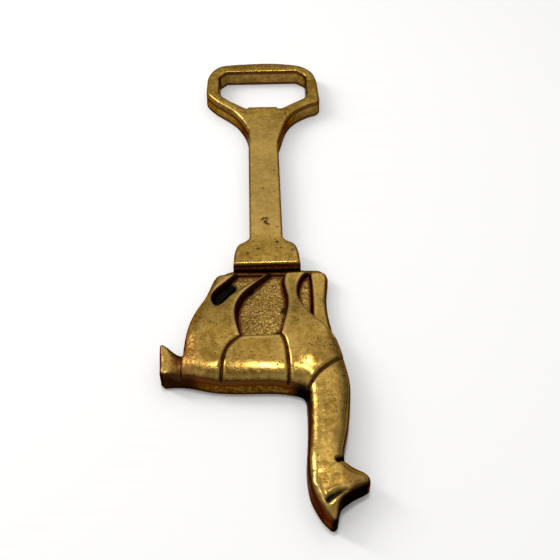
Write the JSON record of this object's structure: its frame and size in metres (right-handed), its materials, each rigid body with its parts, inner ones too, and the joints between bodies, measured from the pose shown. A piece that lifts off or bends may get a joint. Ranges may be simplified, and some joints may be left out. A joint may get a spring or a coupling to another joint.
{
  "type": "bottle opener",
  "caption": "Flat cast brass bottle opener: a cap loop with a lifting lip, a flat shank, and a standing llama in relief as the handle.",
  "frame": {"origin": "on the flat back, on the shank's centreline, at the end of the collar where the figure's feet stand", "axes": "+Y along the shank towards the cap ring, +Z out of the relief side, +X to the figure's chest"},
  "size_m": [0.05, 0.1644, 0.0079],
  "materials": {
    "worn_brass": "aged brass, rubbed bright on the high places and dark in the creases",
    "rough_cast_brass": "as cast, pitted and dark"
  },
  "bodies": {
    "root": {"opener_ring": "worn_brass", "cap_lip": "worn_brass", "shank": "worn_brass", "collar": "worn_brass", "ground_strip": "worn_brass", "leg_web": "rough_cast_brass", "far_front_leg": "worn_brass", "hindquarters": "worn_brass", "forequarters": "worn_brass", "saddle_pack": "worn_brass", "tail": "worn_brass", "neck": "worn_brass", "head": "worn_brass", "ear": "worn_brass"}
  },
  "joints": []
}
